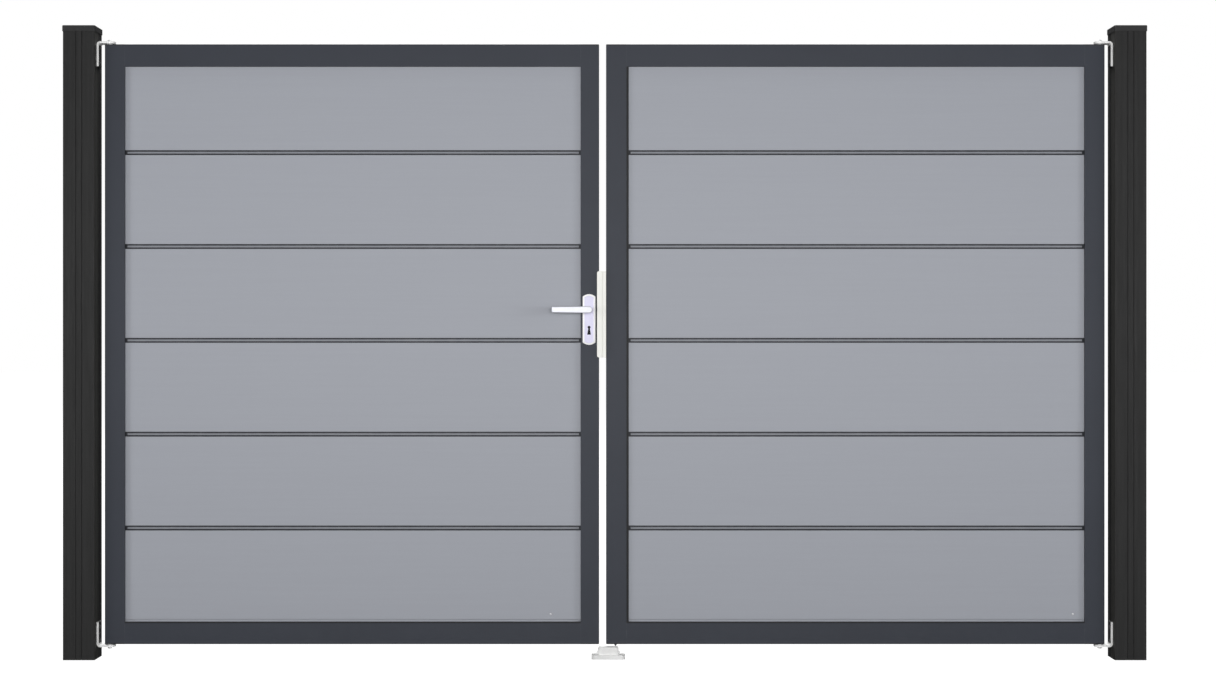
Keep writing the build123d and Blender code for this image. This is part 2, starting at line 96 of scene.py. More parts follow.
class Bench:
    """Adds nodes to one node tree and wires them by socket."""

    def __init__(self, tree: bpy.types.NodeTree) -> None:
        """Work on this tree, which starts empty."""
        self.tree = tree
        tree.nodes.clear()

    def add(self, kind: str, inputs: dict | None = None, **settings: object) -> bpy.types.Node:
        """Add a node and connect it.

        Args:
            kind: the node's type, without its "ShaderNode" or "Node" prefix.
            inputs: a value or another node's socket for each input, by name or number.
            settings: the node's own properties.

        Returns:
            The new node.
        """
        prefix = "Node" if kind.startswith("Group") and kind != "Group" else "ShaderNode"
        node = self.tree.nodes.new(prefix + kind)
        for name, value in settings.items():
            setattr(node, name, value)
        for key, value in (inputs or {}).items():
            if isinstance(value, bpy.types.NodeSocket):
                self.tree.links.new(value, node.inputs[key])
            else:
                node.inputs[key].default_value = value
        return node

    def math(self, operation: str, first: object, second: object = 0.0, clamp: bool = False) -> object:
        """Combine two values.

        Args:
            operation: name of the sum, such as MULTIPLY.
            first: value or socket.
            second: value or socket.
            clamp: whether the result is kept between zero and one.

        Returns:
            The result's socket.
        """
        node = self.add("Math", {0: first, 1: second}, operation=operation, use_clamp=clamp)
        return node.outputs[0]

    def span(self, value: object, low: float, high: float, start: float, end: float) -> object:
        """Map a value from low..high to start..end, held at both ends.

        Args:
            value: socket to map.
            low: value that becomes start.
            high: value that becomes end.
            start: result at low.
            end: result at high.

        Returns:
            The result's socket.
        """
        limits = {"Value": value, "From Min": low, "From Max": high, "To Min": start, "To Max": end}
        return self.add("MapRange", limits, interpolation_type="SMOOTHSTEP").outputs[0]

    def noise(self, place: object, scale: object, detail: float, roughness: float) -> object:
        """Add a noise texture.

        Args:
            place: socket with the coordinates.
            scale: how fine it is, a value or a socket.
            detail: how many finer layers it has.
            roughness: how much the finer layers weigh.

        Returns:
            Socket of its value, about 0 to 1.
        """
        inputs = {"Vector": place, "Scale": scale, "Detail": detail, "Roughness": roughness}
        return self.add("TexNoise", inputs).outputs[0]

    def within(self, value: object, spans: Sequence[Span], margin: float) -> object:
        """Tell where a value lies in one of several spans that don't overlap.

        Args:
            value: socket to test.
            spans: lowest and highest value of each span.
            margin: how far outside a span still counts.

        Returns:
            Socket that is one inside and zero outside.
        """
        found = 0.0
        for low, high in spans:
            limits = {0: value, 1: (low + high) / 2, 2: (high - low) / 2 + margin}
            inside = self.add("Math", limits, operation="COMPARE").outputs[0]
            found = self.math("ADD", inside, found)
        return found

    def zone(
        self, place: object, across: Sequence[Span], heights: Sequence[Span], reach: float, margin: float
    ) -> object:
        """Tell where a point lies in upright boxes about the gate's middle plane.

        Args:
            place: the object's coordinates.
            across: lowest and highest x of the boxes.
            heights: lowest and highest z of the boxes.
            reach: how far the boxes go to the front and to the back.
            margin: how far outside x and z still counts.

        Returns:
            Socket that is one inside and zero outside.
        """
        axes = self.add("SeparateXYZ", {0: place}).outputs
        found = self.math("LESS_THAN", self.math("ABSOLUTE", axes["Y"]), reach)
        for axis, spans in (("X", across), ("Z", heights)):
            found = self.math("MULTIPLY", found, self.within(axes[axis], spans, margin))
        return found

    def blend(self, share: object, first: object, second: object) -> object:
        """Mix two colours.

        Args:
            share: how much of the second colour, 0 to 1.
            first: colour or socket.
            second: colour or socket.

        Returns:
            The mixed colour's socket.
        """
        node = self.add("Mix", data_type="RGBA")
        for name, value in (("Factor_Float", share), ("A_Color", first), ("B_Color", second)):
            socket = next(s for s in node.inputs if s.identifier == name)
            if isinstance(value, bpy.types.NodeSocket):
                self.tree.links.new(value, socket)
            else:
                socket.default_value = value
        return next(s for s in node.outputs if s.identifier == "Result_Color")


class EffectLibrary:
    """The node groups of the shared effects, each built once."""

    def __init__(self) -> None:
        """Build every group."""
        self.groups = {
            Effect.GRAIN: self._grain(),
            Effect.STREAKS: self._streaks(),
            Effect.DUST: self._dust(),
            Effect.RUB: self._rub(),
        }

    def use(self, bench: Bench, effect: Effect, inputs: dict[str, object]) -> bpy.types.bpy_prop_collection:
        """Place an effect's group in a material.

        Args:
            bench: bench of the material.
            effect: which effect it is.
            inputs: value or socket for each of the group's inputs.

        Returns:
            The placed group's outputs.
        """
        return bench.add("Group", inputs, node_tree=self.groups[effect]).outputs

    @staticmethod
    def _group(
        effect: Effect, inputs: dict[str, str], outputs: Sequence[str]
    ) -> tuple[Bench, bpy.types.Node, bpy.types.Node]:
        """Start a group with its sockets.

        Args:
            effect: which effect it is.
            inputs: each input's name and kind, such as NodeSocketFloat.
            outputs: names of the outputs, all plain values.

        Returns:
            The group's bench, its input node and its output node.
        """
        tree = bpy.data.node_groups.new(effect.value, "ShaderNodeTree")
        for name, kind in inputs.items():
            tree.interface.new_socket(name, in_out="INPUT", socket_type=kind)
        for name in outputs:
            tree.interface.new_socket(name, in_out="OUTPUT", socket_type="NodeSocketFloat")
        bench = Bench(tree)
        return bench, bench.add("GroupInput"), bench.add("GroupOutput")

    def _grain(self) -> bpy.types.NodeTree:
        """Fine pebbled relief with slow clouds of shade.

        Returns:
            Group with the relief's Height and a Shade, both 0 to 1.
        """
        sockets = {"Vector": "NodeSocketVector", "Scale": "NodeSocketFloat", "Cloud": "NodeSocketFloat"}
        bench, given, made = self._group(Effect.GRAIN, sockets, ("Height", "Shade"))
        place, cloud_share = given.outputs["Vector"], 0.65
        fine = bench.noise(place, given.outputs["Scale"], detail=2.0, roughness=0.55)
        cloud = bench.noise(place, given.outputs["Cloud"], detail=4.0, roughness=0.6)
        height = bench.span(fine, low=0.25, high=0.75, start=0.0, end=1.0)
        slow = bench.span(cloud, low=0.3, high=0.7, start=0.0, end=1.0)
        shade = bench.math(
            "ADD", bench.math("MULTIPLY", slow, cloud_share), bench.math("MULTIPLY", height, 1 - cloud_share)
        )
        bench.tree.links.new(height, made.inputs["Height"])
        bench.tree.links.new(shade, made.inputs["Shade"])
        return bench.tree

    def _streaks(self) -> bpy.types.NodeTree:
        """Fine lines left by brushing, drawing or extruding, on coordinates squeezed along the lines.

        Returns:
            Group with the lines' Height and a broader Shade, both 0 to 1.
        """
        sockets = {"Vector": "NodeSocketVector", "Scale": "NodeSocketFloat"}
        bench, given, made = self._group(Effect.STREAKS, sockets, ("Height", "Shade"))
        place, scale = given.outputs["Vector"], given.outputs["Scale"]
        fine_share, wide_scale = 0.55, 0.21
        fine = bench.noise(place, scale, detail=3.0, roughness=0.7)
        wide = bench.noise(place, bench.math("MULTIPLY", scale, wide_scale), detail=2.0, roughness=0.5)
        height = bench.span(fine, low=0.28, high=0.72, start=0.0, end=1.0)
        broad = bench.span(wide, low=0.3, high=0.7, start=0.0, end=1.0)
        shade = bench.math(
            "ADD", bench.math("MULTIPLY", height, fine_share), bench.math("MULTIPLY", broad, 1 - fine_share)
        )
        bench.tree.links.new(height, made.inputs["Height"])
        bench.tree.links.new(shade, made.inputs["Shade"])
        return bench.tree

    def _dust(self) -> bpy.types.NodeTree:
        """Dust thrown up from the ground, thinning out with height.

        Returns:
            Group with the dust's Mask, 0 to 1.
        """
        sockets = {"Vector": "NodeSocketVector", "Reach": "NodeSocketFloat"}
        bench, given, made = self._group(Effect.DUST, sockets, ("Mask",))
        height = bench.add("SeparateXYZ", {0: given.outputs["Vector"]}).outputs["Z"]
        share = bench.math("DIVIDE", height, given.outputs["Reach"])
        low = bench.span(share, low=0.0, high=1.0, start=1.0, end=0.0)
        patches = bench.noise(given.outputs["Vector"], scale=34.0, detail=5.0, roughness=0.65)
        spread = bench.span(patches, low=0.3, high=0.75, start=0.25, end=1.0)
        bench.tree.links.new(bench.math("MULTIPLY", low, spread, clamp=True), made.inputs["Mask"])
        return bench.tree

    def _rub(self) -> bpy.types.NodeTree:
        """Rubbed edges, partly wear and partly a painted highlight: where the surface turns within the width.

        Returns:
            Group with the rubbed edges' Mask, 0 to 1.
        """
        sockets = {"Vector": "NodeSocketVector", "Width": "NodeSocketFloat"}
        bench, given, made = self._group(Effect.RUB, sockets, ("Mask",))
        rounded = bench.add("Bevel", {"Radius": given.outputs["Width"]}, samples=6)
        flat = bench.add("NewGeometry")
        likeness = bench.add(
            "VectorMath", {0: rounded.outputs[0], 1: flat.outputs["Normal"]}, operation="DOT_PRODUCT"
        )
        turned = bench.span(likeness.outputs["Value"], low=0.9, high=0.995, start=1.0, end=0.0)
        patches = bench.noise(given.outputs["Vector"], scale=60.0, detail=4.0, roughness=0.7)
        broken = bench.span(patches, low=0.35, high=0.7, start=0.2, end=1.0)
        bench.tree.links.new(bench.math("MULTIPLY", turned, broken, clamp=True), made.inputs["Mask"])
        return bench.tree


@dataclass(frozen=True)
class Finish:
    """What every finish has: its name, colour, gloss and relief."""

    name: str
    colour: Colour
    roughness: float
    relief: float
    contrast: float = 0.06
    gloss_spread: float = 0.08
    dust: float = 0.0
    dust_colour: Colour = tone(140, 139, 137)
    dust_reach: float = 0.35
    dust_roughness: float = 0.3
    rub: float = 0.0
    rub_and_sheen_width: float = 2.0 * MM
    rub_and_sheen_colour: Colour = tone(150, 152, 156)
    specular: float = 0.5
    metallic: float = 0.0

    def pattern(self, bench: Bench, effects: EffectLibrary, place: object) -> tuple[object, object]:
        """Give the finish's own relief and shade.

        Args:
            bench: bench of the material.
            effects: the shared effects.
            place: the object's coordinates.

        Returns:
            Sockets of the height and of the shade, both 0 to 1.
        """
        raise NotImplementedError

    def tint(self, bench: Bench, place: object, shaded: object) -> object:
        """Give the colour itself, where a finish has more than one tone or carries painted light and shade.

        Args:
            bench: bench of the material.
            place: the object's coordinates.
            shaded: the finish's shaded colour.

        Returns:
            Socket of the colour.
        """
        return shaded

    def build(self, effects: EffectLibrary) -> bpy.types.Material:
        """Make the material.

        Args:
            effects: the shared effects.

        Returns:
            The material, with one Principled shader.
        """
        material = bpy.data.materials.new(self.name)
        material.use_nodes = True
        bench = Bench(material.node_tree)
        place = bench.add("TexCoord").outputs["Object"]
        height, shade = self.pattern(bench, effects, place)
        factor = bench.span(shade, 0.0, 1.0, 1.0 - self.contrast, 1.0 + self.contrast)
        shaded = bench.add("VectorMath", {0: self.colour[:3], "Scale": factor}, operation="SCALE").outputs[0]
        shaded = self.tint(bench, place, shaded)
        smooth, matt = self.roughness - self.gloss_spread, self.roughness + self.gloss_spread
        rough = bench.span(height, 0.0, 1.0, smooth, matt)
        if self.dust:
            dusty = effects.use(bench, Effect.DUST, {"Vector": place, "Reach": self.dust_reach})["Mask"]
            mask = bench.math("MULTIPLY", dusty, self.dust)
            shaded = bench.blend(mask, shaded, self.dust_colour)
            rough = bench.math("ADD", rough, bench.math("MULTIPLY", mask, self.dust_roughness), clamp=True)
        # edge colour: wear, and a painted highlight where it is lighter than the finish
        if self.rub:
            rub_and_sheen_mask = effects.use(bench, Effect.RUB, {"Vector": place, "Width": self.rub_and_sheen_width})["Mask"]
            shaded = bench.blend(bench.math("MULTIPLY", rub_and_sheen_mask, self.rub), shaded, self.rub_and_sheen_colour)
        bump = bench.add("Bump", {"Height": height, "Distance": self.relief, "Strength": 1.0})
        shader = bench.add(
            "BsdfPrincipled",
            {
                "Base Color": shaded, "Roughness": rough, "Normal": bump.outputs[0],
                "Metallic": self.metallic, "Specular IOR Level": self.specular,
            },
        )
        bench.add("OutputMaterial", {"Surface": shader.outputs[0]})
        return material


@dataclass(frozen=True)
class Coating(Finish):
    """Powder coat, paint or moulded skin with a fine pebbled relief."""

    grain: float = 900.0
    cloud: float = 3.0

    def pattern(self, bench: Bench, effects: EffectLibrary, place: object) -> tuple[object, object]:
        """Give the coat's grain, which is the same in every direction.

        Args:
            bench: bench of the material.
            effects: the shared effects.
            place: the object's coordinates.

        Returns:
            Sockets of the height and of the shade.
        """
        inputs = {"Vector": place, "Scale": self.grain, "Cloud": self.cloud}
        grain = effects.use(bench, Effect.GRAIN, inputs)
        return grain["Height"], grain["Shade"]


@dataclass(frozen=True)
class Drawn(Finish):
    """Brushed, drawn or extruded surface with fine lines along one axis."""

    axis: Axis = Axis.UPRIGHT
    lines: float = 700.0

    def pattern(self, bench: Bench, effects: EffectLibrary, place: object) -> tuple[object, object]:
        """Give the lines, squeezed along the axis in which they run.

        Args:
            bench: bench of the material.
            effects: the shared effects.
            place: the object's coordinates.

        Returns:
            Sockets of the height and of the shade.
        """
        squeezed = bench.add("Mapping", {"Vector": place, "Scale": self.axis.value}, vector_type="POINT")
        streaks = effects.use(bench, Effect.STREAKS, {"Vector": squeezed.outputs[0], "Scale": self.lines})
        return streaks["Height"], streaks["Shade"]


@dataclass(frozen=True)
class BoardCoat(Drawn):
    """Satin coat of the boards; painted shade darkens each joint, and less of it its middle rib.

    Depth from the board's middle tells the faces from the joint: the rib stands between the two. Under
    the sill's height, at the foot of the lowest board, the joint has the colour of the faces.
    """

    joint_shade_colour: Colour = tone(40, 42, 48)
    rib_shade_colour: Colour = tone(128, 131, 138)
    joint_depth: float = 8.7 * MM
    rib_depth: float = 8.0 * MM
    edge: float = 0.25 * MM
    sill: float = 122.0 * MM

    def tint(self, bench: Bench, place: object, shaded: object) -> object:
        """Paint shade on what lies deeper than the faces above the sill, lighter on the rib's front.

        Args:
            bench: bench of the material.
            place: the object's coordinates.
            shaded: the finish's shaded colour.

        Returns:
            Socket of the colour.
        """
        axes = bench.add("SeparateXYZ", {0: place}).outputs
        depth = bench.math("ABSOLUTE", axes["Y"])
        deep = bench.span(depth, self.joint_depth - self.edge, self.joint_depth + self.edge, 1.0, 0.0)
        off_rib = bench.math("ABSOLUTE", bench.math("SUBTRACT", depth, self.rib_depth))
        rib = bench.span(off_rib, 0.5 * self.edge, self.edge, 1.0, 0.0)
        # painted shade: dark in the joint, lighter on the rib's front
        joint = bench.blend(rib, self.joint_shade_colour, self.rib_shade_colour)
        deep = bench.math("MULTIPLY", deep, bench.math("GREATER_THAN", axes["Z"], self.sill))
        return bench.blend(deep, shaded, joint)


@dataclass(frozen=True)
class FrameCoat(Coating):
    """Powder coat of the frame, with painted shade in the recess around the boards.

    The recess is what lies deeper than the faces and no further out than the edge of the field. A shadow
    line runs along the top edge of the bottom rail.
    """

    recess_shade_colour: Colour = tone(20, 21, 25)
    recess_depth: float = 16.5 * MM
    fields: tuple[Span, ...] = ((131.5 * MM, 1499.5 * MM), (1636.5 * MM, 3011.5 * MM))
    field_heights: tuple[Span, ...] = ((111.0 * MM, 1777.0 * MM),)
    shadow_line_heights: tuple[Span, ...] = ((107.6 * MM, 111.0 * MM),)
    shadow_line_reach: float = 20.5 * MM
    margin: float = 0.4 * MM

    def tint(self, bench: Bench, place: object, shaded: object) -> object:
        """Paint shade in the recess around both fields, and the shadow line under them.

        Args:
            bench: bench of the material.
            place: the object's coordinates.
            shaded: the finish's shaded colour.

        Returns:
            Socket of the colour.
        """
        # painted shadow line under the fields, and painted shade in their recess
        line = bench.zone(place, self.fields, self.shadow_line_heights, self.shadow_line_reach, self.margin)
        recess = bench.zone(place, self.fields, self.field_heights, self.recess_depth, self.margin)
        return bench.blend(bench.math("MAXIMUM", line, recess), shaded, self.recess_shade_colour)


@dataclass(frozen=True)
class PostCoat(Drawn):
    """Dark composite of the posts; their inner faces have painted light before a line, painted shade behind
    it.
    """

    inner_light_colour: Colour = tone(41, 41, 39)
    inner_shade_colour: Colour = tone(13, 13, 14)
    inner_faces: tuple[Span, ...] = ((46.0 * MM, 47.5 * MM), (3095.5 * MM, 3097.0 * MM))
    parting: float = 2.0 * MM
    margin: float = 0.2 * MM

    def tint(self, bench: Bench, place: object, shaded: object) -> object:
        """Paint light on the inner faces' front and shade on their back.

        Args:
            bench: bench of the material.
            place: the object's coordinates.
            shaded: the finish's shaded colour.

        Returns:
            Socket of the colour.
        """
        axes = bench.add("SeparateXYZ", {0: place}).outputs
        back = bench.math("GREATER_THAN", axes["Y"], self.parting)
        inner = bench.within(axes["X"], self.inner_faces, self.margin)
        # painted light in front of the parting and painted shade behind it, on the inner faces only
        return bench.blend(inner, shaded, bench.blend(back, self.inner_light_colour, self.inner_shade_colour))


@dataclass(frozen=True)
class PaintedLightZinc(Coating):
    """Bright zinc; painted shade on each bracket's leg between its two edges, painted highlight on the arms.
    """

    arm_highlight_colour: Colour = tone(255, 255, 255)
    arms: tuple[Span, ...] = ((58.0 * MM, 200.0 * MM), (2943.0 * MM, 3085.0 * MM))
    leg_shade_colour: Colour = tone(30, 30, 32)
    legs: tuple[Span, ...] = ((47.5 * MM, 53.5 * MM), (3089.5 * MM, 3095.5 * MM))
    leg_heights: tuple[Span, ...] = ((47.0 * MM, 110.0 * MM), (1778.0 * MM, 1841.0 * MM))
    leg_shade_reach: float = 19.0 * MM
    margin: float = 0.4 * MM

    def tint(self, bench: Bench, place: object, shaded: object) -> object:
        """Paint shade on the legs between their edges, and a highlight on the arms.

        Args:
            bench: bench of the material.
            place: the object's coordinates.
            shaded: the finish's shaded colour.

        Returns:
            Socket of the colour.
        """
        across = bench.add("SeparateXYZ", {0: place}).outputs["X"]
        # painted highlight on the arms
        shaded = bench.blend(bench.within(across, self.arms, self.margin), shaded, self.arm_highlight_colour)
        # painted shade on the legs, which face the gap beside the leaf
        leg_shade = bench.zone(place, self.legs, self.leg_heights, self.leg_shade_reach, self.margin)
        return bench.blend(leg_shade, shaded, self.leg_shade_colour)


@dataclass(frozen=True)
class LockSteel(Drawn):
    """Brushed forend with painted shade on the lock case, told apart by how far they lie from the leaf's
    edge.
    """

    case_shade_colour: Colour = tone(22, 22, 24)
    case_edge: float = 1549.5 * MM

    def tint(self, bench: Bench, place: object, shaded: object) -> object:
        """Paint shade on the case, which lies inside the stile.

        Args:
            bench: bench of the material.
            place: the object's coordinates.
            shaded: the finish's shaded colour.

        Returns:
            Socket of the colour.
        """
        across = bench.add("SeparateXYZ", {0: place}).outputs["X"]
        # painted shade on the case inside the stile
        return bench.blend(bench.math("LESS_THAN", across, self.case_edge), shaded, self.case_shade_colour)


@dataclass(frozen=True)
class ShieldMetal(Drawn):
    """Satin lock plate with a painted highlight on its border, told apart by depth."""

    border_highlight_colour: Colour = tone(255, 255, 255)
    face_depth: float = 25.9 * MM

    def tint(self, bench: Bench, place: object, shaded: object) -> object:
        """Paint a highlight on what lies lower than the plate's flat face.

        Args:
            bench: bench of the material.
            place: the object's coordinates.
            shaded: the finish's shaded colour.

        Returns:
            Socket of the colour.
        """
        depth = bench.math("ABSOLUTE", bench.add("SeparateXYZ", {0: place}).outputs["Y"])
        # painted highlight on the plate's border and keyhole walls
        return bench.blend(bench.math("LESS_THAN", depth, self.face_depth), shaded, self.border_highlight_colour)


FRAME_COAT = FrameCoat(
    "frame_powder_coat", tone(49, 53, 62), roughness=0.55, relief=0.05 * MM, contrast=0.05,
    dust=0.015, rub=0.12, specular=0.3,
)
BOARD_COAT = BoardCoat(
    "board_satin_coat", tone(159, 162, 170), roughness=0.5, relief=0.004 * MM, contrast=0.010,
    gloss_spread=0.05, dust=0.02, rub=0.25, rub_and_sheen_colour=tone(205, 207, 212), specular=0.25,
    axis=Axis.ALONG_GATE, lines=520.0,
)
POST_COMPOSITE = PostCoat(
    "post_brushed_composite", tone(30, 30, 30), roughness=0.62, relief=0.16 * MM, contrast=0.30,
    gloss_spread=0.1, rub=0.1, rub_and_sheen_colour=tone(96, 96, 96), specular=0.3, axis=Axis.UPRIGHT, lines=520.0,
)
CAP_COMPOSITE = Coating(
    "cap_moulded_composite", tone(40, 40, 41), roughness=0.55, relief=0.06 * MM, contrast=0.08,
    rub=0.15, rub_and_sheen_colour=tone(90, 90, 90), specular=0.3, grain=1100.0,
)
HINGE_ZINC = PaintedLightZinc(
    "hinge_zinc", tone(236, 236, 235), roughness=0.5, relief=0.03 * MM, contrast=0.06, gloss_spread=0.1,
    dust=0.03, metallic=0.2, grain=420.0, cloud=45.0,
)
END_PLASTIC = Coating(
    "end_plate_plastic", tone(40, 42, 47), roughness=0.6, relief=0.04 * MM, contrast=0.06,
    rub=0.1, specular=0.3, grain=1300.0,
)
HANDLE_ALUMINIUM = Drawn(
    "handle_anodised_aluminium", tone(238, 239, 245), roughness=0.68, relief=0.006 * MM, contrast=0.02,
    gloss_spread=0.04, metallic=1.0, axis=Axis.ALONG_GATE, lines=1500.0,
)
SHIELD_ALUMINIUM = ShieldMetal(
    "shield_anodised_aluminium", tone(224, 222, 240), roughness=0.71, relief=0.004 * MM, contrast=0.02,
    gloss_spread=0.04, metallic=0.7, axis=Axis.UPRIGHT, lines=1500.0,
)
LOCK_STAINLESS = LockSteel(
    "lock_brushed_stainless", tone(186, 186, 190), roughness=0.36, relief=0.01 * MM, contrast=0.05,
    gloss_spread=0.07, metallic=1.0, axis=Axis.UPRIGHT, lines=1300.0,
)
KEEP_PAINT = Coating(
    "keep_cream_paint", tone(231, 231, 225), roughness=0.4, relief=0.02 * MM, contrast=0.02,
    rub=0.12, rub_and_sheen_colour=tone(180, 178, 172), grain=1200.0,
)
BOLT_STEEL = Drawn(
    "bolt_dark_steel", tone(104, 104, 110), roughness=0.45, relief=0.012 * MM, contrast=0.08,
    dust=0.06, metallic=0.7, axis=Axis.UPRIGHT, lines=1200.0,
)
STOP_ALUMINIUM = Coating(
    "stop_cast_aluminium", tone(237, 237, 236), roughness=0.6, relief=0.05 * MM, contrast=0.05,
    gloss_spread=0.1, dust=0.05, dust_reach=0.03, grain=700.0, cloud=60.0,
)
SCREW_STEEL = Coating(
    "screw_steel", tone(176, 176, 180), roughness=0.36, relief=0.006 * MM, contrast=0.05,
    metallic=1.0, grain=1800.0, cloud=200.0,
)
RIVET_ALUMINIUM = Coating(
    "rivet_aluminium", tone(214, 214, 218), roughness=0.4, relief=0.005 * MM, contrast=0.04,
    metallic=0.6, grain=1800.0, cloud=200.0,
)

SLOT_FINISHES: dict[str, Finish] = {
    "post_composite": POST_COMPOSITE,
    "cap_composite": CAP_COMPOSITE,
    "frame_paint": FRAME_COAT,
    "board_paint": BOARD_COAT,
    "hinge_steel": HINGE_ZINC,
    "stile_end": END_PLASTIC,
    "handle_silver": HANDLE_ALUMINIUM,
    "lock_steel": LOCK_STAINLESS,
    "keep_white": KEEP_PAINT,
    "bolt_steel": BOLT_STEEL,
    "stop_silver": STOP_ALUMINIUM,
}
NODE_FINISHES: dict[str, Finish] = {
    "front_lock_plate": SHIELD_ALUMINIUM,
    "rear_lock_plate": SHIELD_ALUMINIUM,
}


class Workshop:
    """Holds the materials, one for each finish that is asked for."""

    def __init__(self) -> None:
        """Build the shared effects."""
        self.effects = EffectLibrary()
        self.materials: dict[str, bpy.types.Material] = {}

    def material(self, finish: Finish) -> bpy.types.Material:
        """Give a finish's material, built the first time.

        Args:
            finish: the finish.

        Returns:
            Its material.
        """
        if finish.name not in self.materials:
            self.materials[finish.name] = finish.build(self.effects)
        return self.materials[finish.name]

    def dress(self, node: str) -> None:
        """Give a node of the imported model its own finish, or else that of its slot.

        Args:
            node: the node's name.
        """
        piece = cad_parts[node]
        slot = piece.material_slots[0].material.name.split(".")[0]
        finish = NODE_FINISHES.get(node, SLOT_FINISHES[slot])
        for place in piece.material_slots:
            place.material = self.material(finish)
        log.info("%s: %s", node, finish.name)


class Drive(Enum):
    """Recess in a fastener's head."""

    SIX_LOBE = "six_lobe"
    HEXAGON = "hexagon"
    ROUND = "round"

    def outline(self, angle: np.ndarray) -> np.ndarray:
        """Radius of the recess against its greatest radius, at each angle.

        A six-lobe recess follows a cosine of six waves; a hexagon follows the distance to its sides.

        Args:
            angle: angles round the head, in radians.

        Returns:
            Array of shares, at most one.
        """
        if self is Drive.SIX_LOBE:
            lobes, depth = 6, 0.14
            return 1 - depth + depth * np.cos(lobes * angle)
        if self is Drive.HEXAGON:
            corner = math.pi / 3
            return math.cos(corner / 2) / np.cos(np.mod(angle, corner) - corner / 2)
        return np.ones_like(angle)


@dataclass(frozen=True)
class Fastener:
    """A fastener's head as a turned profile with a shaped recess.

    The profile lists radius, height above the seat, and how far the point follows the recess's outline.
    Lip and floor are shares of the recess's radius, the two rounds of its depth, the rim's drop of the
    head's radius, and the stub, which is the shank's length, of the shank's radius.
    """

    radius: float
    rise: float
    sink: float
    shank: float
    recess: float
    recess_depth: float
    drive: Drive
    segments: int = 48
    rim_points: int = 7
    dome_power: float = 0.6
    lip: float = 1.08
    floor: tuple[float, float] = (0.55, 0.92)
    floor_round: float = 0.1
    mouth_round: float = 0.08
    rim_drop: float = 0.03
    stub: float = 0.6

    def profile(self) -> np.ndarray:
        """Points from the bottom of the recess, over the rim and down to the end of the shank.

        The dome between recess and rim is the rise times a quarter cosine wave, to the dome's power.

        Returns:
            Array of radius, height and recess share, one row for each point.
        """
        rim = np.linspace(self.recess * self.lip, self.radius, self.rim_points)
        fall = np.cos(0.5 * math.pi * (rim - rim[0]) / (rim[-1] - rim[0]))
        dome = self.rise * fall**self.dome_power
        bottom = dome[0] - self.recess_depth
        inside = np.array(
            [
                (self.recess * self.floor[0], bottom, 1.0),
                (self.recess * self.floor[1], bottom, 1.0),
                (self.recess, bottom + self.floor_round * self.recess_depth, 1.0),
                (self.recess, dome[0] - self.mouth_round * self.recess_depth, 1.0),
            ]
        )
        top = np.column_stack((rim, dome, np.zeros_like(rim)))
        below = np.array(
            [
                (self.radius, -self.rim_drop * self.radius, 0.0),
                (self.shank, -self.sink, 0.0),
                (self.shank, -self.sink - self.stub * self.shank, 0.0),
            ]
        )
        return np.vstack((inside, top, below))

    def surface(self, seat: Point, outward: Point, turn: float) -> tuple[np.ndarray, list[list[int]]]:
        """Turn the profile about the fastener's axis.

        Each point is at the profile's radius times the recess's outline, at every angle round the axis.
        A single point closes the recess, and another closes the shank's end.

        Args:
            seat: middle of the head on the surface that it sits on.
            outward: direction in which the head looks.
            turn: angle by which the recess is turned, in radians.

        Returns:
            Array of points and a list of faces.
        """
        rows = self.profile()
        angle = np.linspace(0, 2 * math.pi, self.segments, endpoint=False)
        shape = 1 + rows[:, 2:3] * (self.drive.outline(angle + turn)[None, :] - 1)
        radius = rows[:, 0:1] * shape
        height = np.repeat(rows[:, 1:2], self.segments, axis=1)
        local = np.stack((radius * np.cos(angle), radius * np.sin(angle), height), axis=-1).reshape(-1, 3)
        poles = np.array(((0, 0, rows[0, 1]), (0, 0, rows[-1, 1])))
        axis = np.array(outward, float)
        upright = 0.9
        side = np.cross(axis, (0.0, 0.0, 1.0) if abs(axis[2]) < upright else (1.0, 0.0, 0.0))
        side /= np.linalg.norm(side)
        basis = np.stack((side, np.cross(axis, side), axis))
        points = np.vstack((local, poles)) @ basis + np.array(seat)
        return points, ring_faces(len(rows), self.segments)


def ring_faces(rows: int, segments: int) -> list[list[int]]:
    """Faces of a closed grid of rings whose first and last rings end in a pole each.

    Point i of ring r is joined to its neighbours i + 1 and r + 1, counted round.

    Args:
        rows: number of rings.
        segments: points in each ring.

    Returns:
        Quads between the rings and triangles at the poles, facing outwards.
    """
    ring = np.arange(rows - 1)[:, None] * segments
    here = np.arange(segments)[None, :]
    after = (here + 1) % segments
    quads = np.stack((ring + here, ring + segments + here, ring + segments + after, ring + after), axis=-1)
    top, bottom = rows * segments, rows * segments + 1
    last = (rows - 1) * segments
    first_fan = np.stack((np.full(segments, top), here[0], after[0]), axis=-1)
    last_fan = np.stack((np.full(segments, bottom), last + after[0], last + here[0]), axis=-1)
    return quads.reshape(-1, 4).tolist() + first_fan.tolist() + last_fan.tolist()


